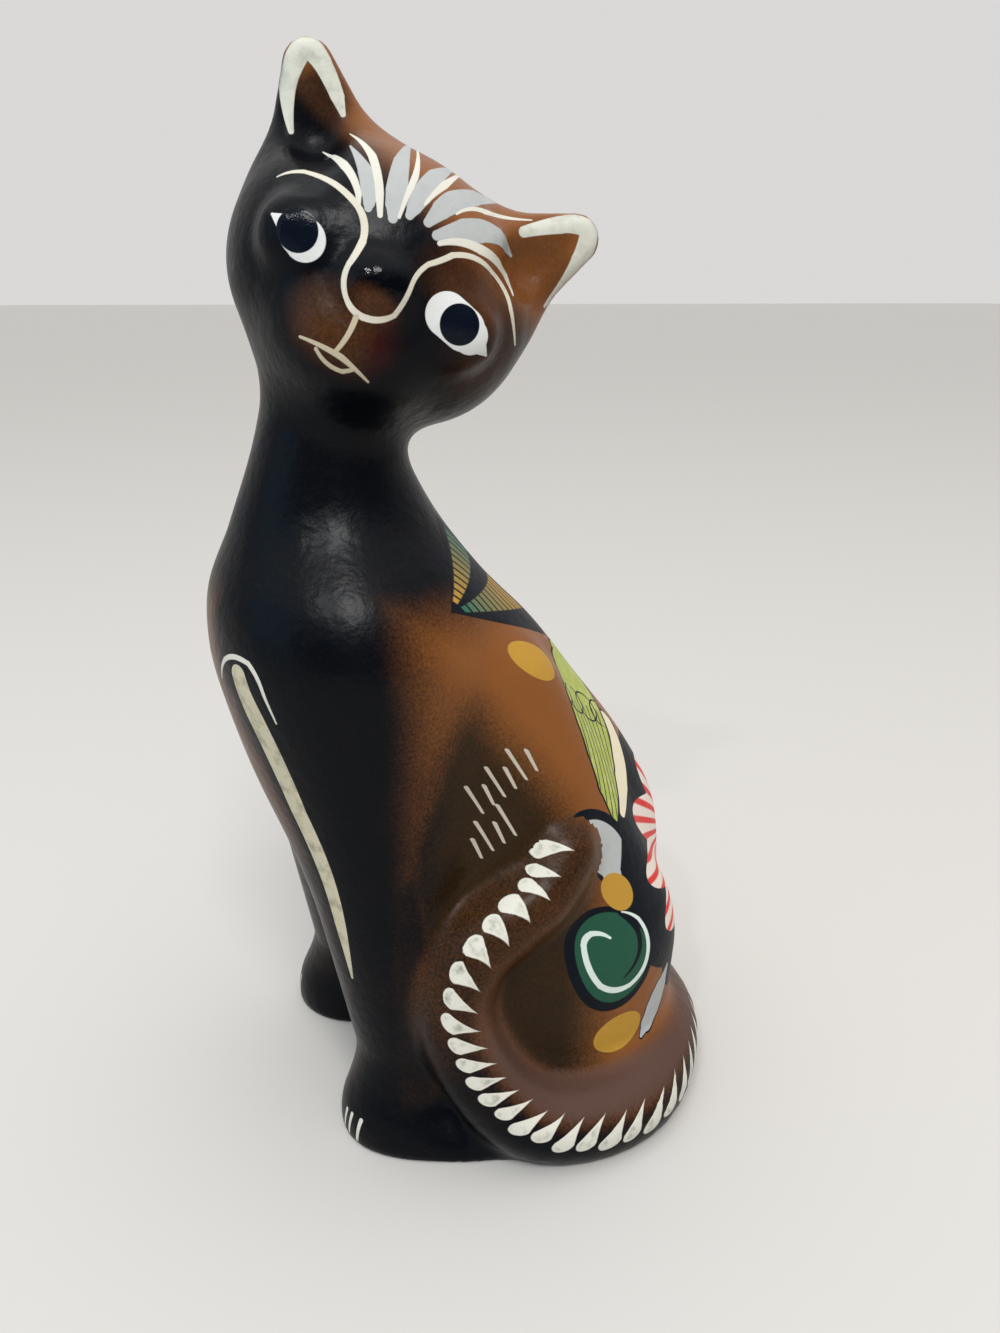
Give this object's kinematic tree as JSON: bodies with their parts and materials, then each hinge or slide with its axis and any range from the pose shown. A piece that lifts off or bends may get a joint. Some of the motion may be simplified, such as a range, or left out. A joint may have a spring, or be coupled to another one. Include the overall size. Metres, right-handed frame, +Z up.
{
  "type": "clay cat figurine",
  "caption": "Seated slip-cast clay cat with its head turned and tipped, tail laid round the base, dark airbrushed coat and hand-painted folk strokes.",
  "frame": {"origin": "middle of the bounding box, on the surface the figurine stands on", "axes": "+Z up, -Y the way the chest and paws face, +X the cat's own left, the side its head is turned to and its tail lies on"},
  "size_m": [0.1188, 0.1274, 0.2549],
  "materials": {
    "painted_clay": "satin dark brown and black coat with cream, green, ochre and red brush strokes"
  },
  "bodies": {
    "root": {"cat_figurine": "painted_clay"}
  },
  "joints": []
}
